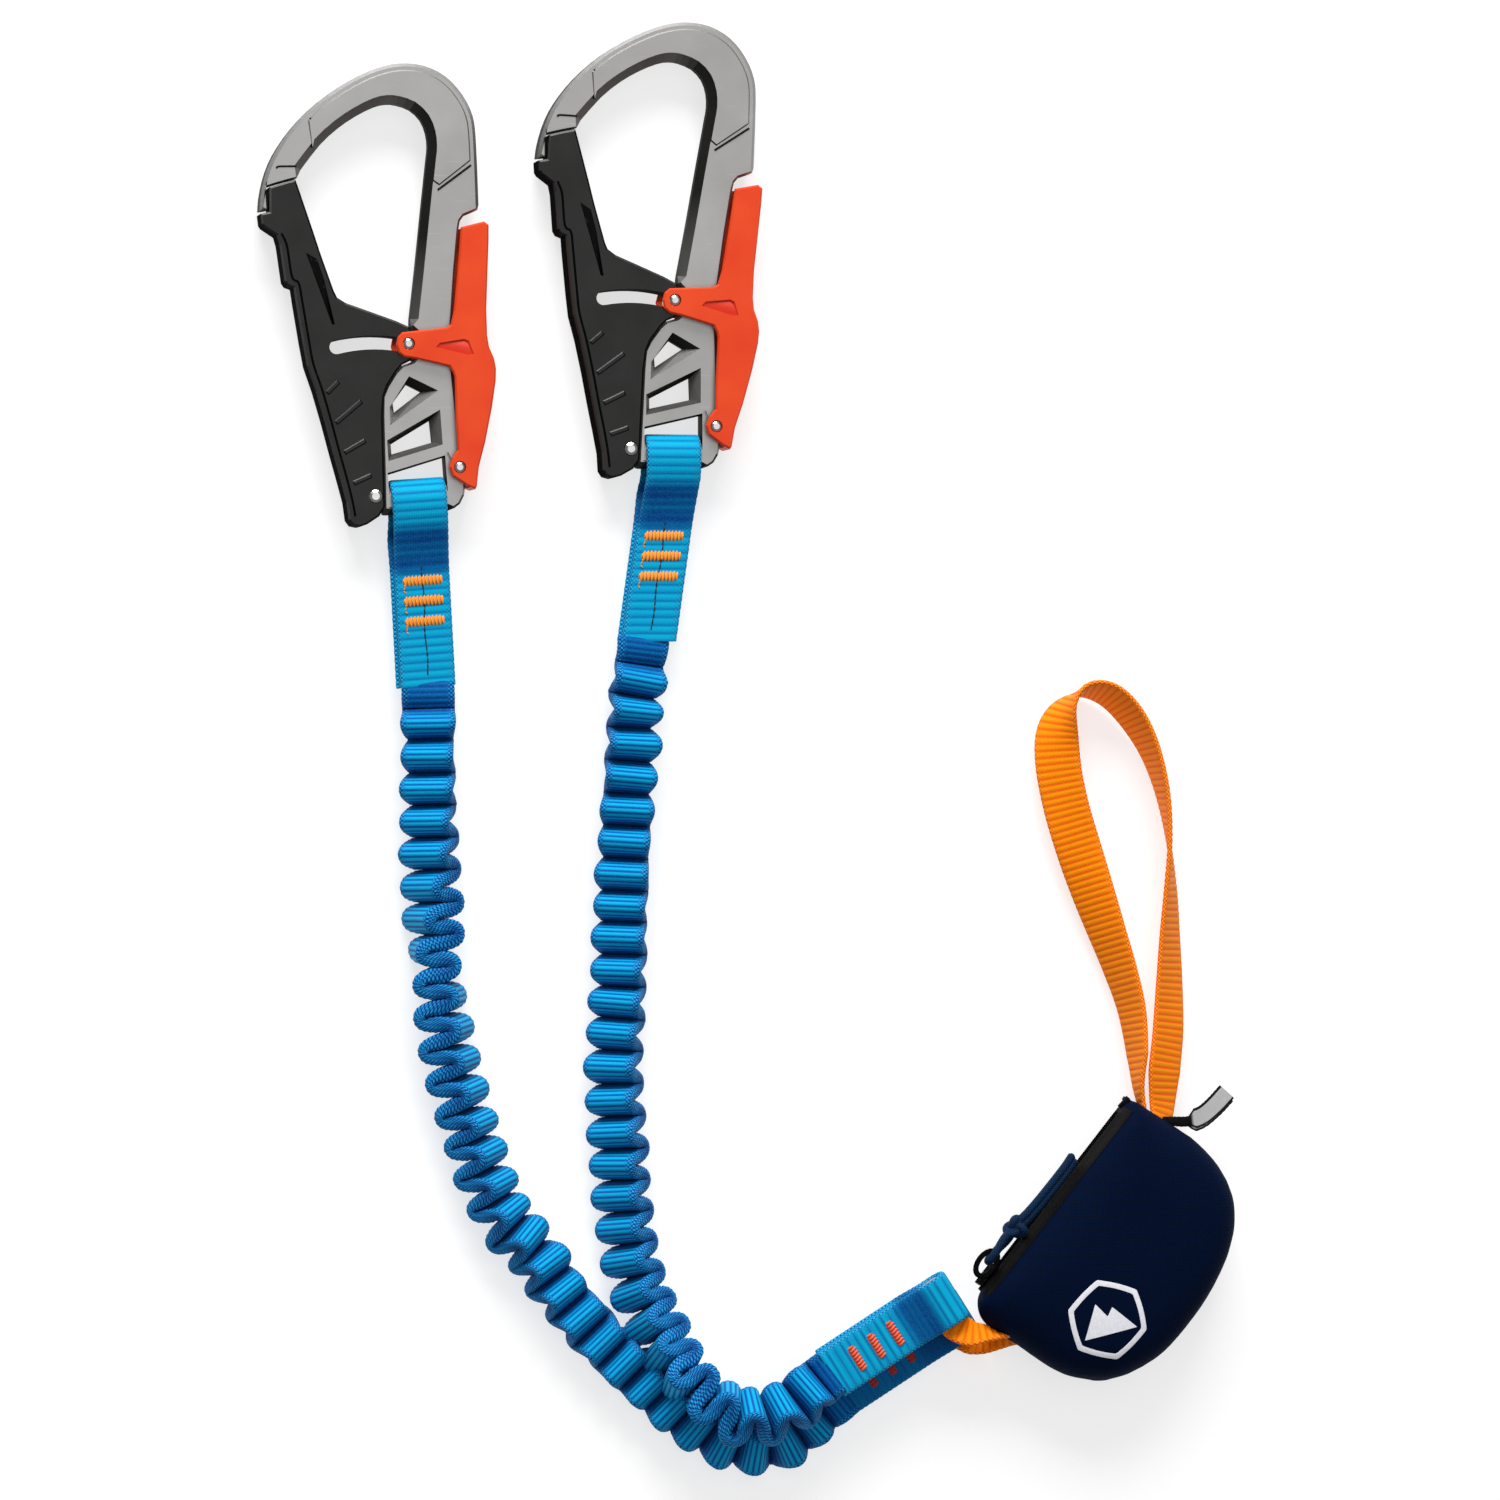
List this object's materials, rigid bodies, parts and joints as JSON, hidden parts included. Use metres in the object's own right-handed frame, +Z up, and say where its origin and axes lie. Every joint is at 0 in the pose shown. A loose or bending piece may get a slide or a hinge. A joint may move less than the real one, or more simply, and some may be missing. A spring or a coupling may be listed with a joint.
{
  "type": "via ferrata lanyard set",
  "caption": "Via ferrata lanyard set: palm-squeeze carabiners on elastic webbing arms, joined to a zipped absorber pouch with a tie-in loop, laid flat.",
  "frame": {"origin": "on the surface, under the middle of the box round the carabiners, webbing loops and pouch", "axes": "+Y towards the carabiners' hooks, +Z up off the surface, +X towards the pouch"},
  "size_m": [0.3552, 0.52, 0.032],
  "materials": {
    "satin_aluminium": "satin bead-blasted, with brighter edges",
    "black_gate": "black, satin",
    "orange_lever": "orange moulded plastic, fine texture",
    "bright_steel": "bright turned rivet heads",
    "spring_steel": "drawn spring wire",
    "blue_webbing": "ribbed tubular webbing",
    "orange_thread": "bar-tacked thread",
    "red_thread": "bar-tacked thread",
    "orange_webbing": "ribbed flat webbing",
    "absorber_webbing": "folded tear webbing",
    "navy_fabric": "fine-woven stretch fabric",
    "black_zip": "zip tape and moulded coil, satin",
    "navy_cord": "braided cord",
    "grey_label": "printed woven label, blank"
  },
  "bodies": {
    "root": {"absorber_pack": "absorber_webbing", "arm_end_loop_left": "blue_webbing", "arm_end_loop_right": "blue_webbing", "arm_left": "blue_webbing", "arm_right": "blue_webbing", "care_label": "grey_label", "connector_strap": "orange_webbing", "end_bartacks_left_top": "red_thread", "end_bartacks_left_under": "red_thread", "end_bartacks_right_top": "red_thread", "end_bartacks_right_under": "red_thread", "eye_bartacks_left_top": "orange_thread", "eye_bartacks_left_under": "orange_thread", "eye_bartacks_right_top": "orange_thread", "eye_bartacks_right_under": "orange_thread", "pouch_back_panel": "navy_fabric", "pouch_front_panel": "navy_fabric", "tie_in_loop": "orange_webbing", "webbing_eye_left": "blue_webbing", "webbing_eye_right": "blue_webbing", "zip_coil": "black_zip", "zip_tape_back": "black_zip", "zip_tape_front": "black_zip"},
    "carabiner_left": {"carabiner_body_left": "satin_aluminium", "gate_rivet_left": "bright_steel", "lever_rivet_left": "bright_steel"},
    "gate_left": {"gate_left": "black_gate", "gate_spring_left": "spring_steel"},
    "palm_lever_left": {"palm_lever_left": "orange_lever", "lever_spring_left": "spring_steel", "lock_bolt_left": "bright_steel"},
    "carabiner_right": {"carabiner_body_right": "satin_aluminium", "gate_rivet_right": "bright_steel", "lever_rivet_right": "bright_steel"},
    "gate_right": {"gate_right": "black_gate", "gate_spring_right": "spring_steel"},
    "palm_lever_right": {"palm_lever_right": "orange_lever", "lever_spring_right": "spring_steel", "lock_bolt_right": "bright_steel"},
    "zip_slider": {"zip_slider": "black_zip", "zip_puller": "black_zip", "pull_cord_loop": "navy_cord", "pull_cord_tail": "navy_cord", "pull_knot": "navy_cord"}
  },
  "joints": [
    {"name": "carabiner_swing_left", "type": "hinge", "parent": "root", "child": "carabiner_left", "pos_m": [-0.12069, 0.07867, 0.0089], "axis": [0.9972, 0.075, 0], "range_deg": [0, 110]},
    {"name": "gate_hinge_left", "type": "hinge", "parent": "carabiner_left", "child": "gate_left", "pos_m": [-0.13641, 0.07969, 0.0089], "axis": [0, 0, 1], "range_deg": [-18, 0], "stiffness_Nm_per_rad": 0.6, "springref_deg": 14.32},
    {"name": "palm_lever_hinge_left", "type": "hinge", "parent": "carabiner_left", "child": "palm_lever_left", "pos_m": [-0.10641, 0.09017, 0.0089], "axis": [0, 0, 1], "range_deg": [0, 3.5], "stiffness_Nm_per_rad": 1.5, "springref_deg": -5.73},
    {"name": "carabiner_swing_right", "type": "hinge", "parent": "root", "child": "carabiner_right", "pos_m": [-0.02879, 0.09507, 0.0089], "axis": [1, 0, 0], "range_deg": [0, 110]},
    {"name": "gate_hinge_right", "type": "hinge", "parent": "carabiner_right", "child": "gate_right", "pos_m": [-0.04439, 0.09727, 0.0089], "axis": [0, 0, 1], "range_deg": [-18, 0], "stiffness_Nm_per_rad": 0.6, "springref_deg": 14.32},
    {"name": "palm_lever_hinge_right", "type": "hinge", "parent": "carabiner_right", "child": "palm_lever_right", "pos_m": [-0.01369, 0.10547, 0.0089], "axis": [0, 0, 1], "range_deg": [0, 3.5], "stiffness_Nm_per_rad": 1.5, "springref_deg": -5.73},
    {"name": "zip_travel", "type": "slide", "parent": "root", "child": "zip_slider", "axis": [0.6228, 0.7824, 0], "range_m": [0, 0.022]}
  ]
}
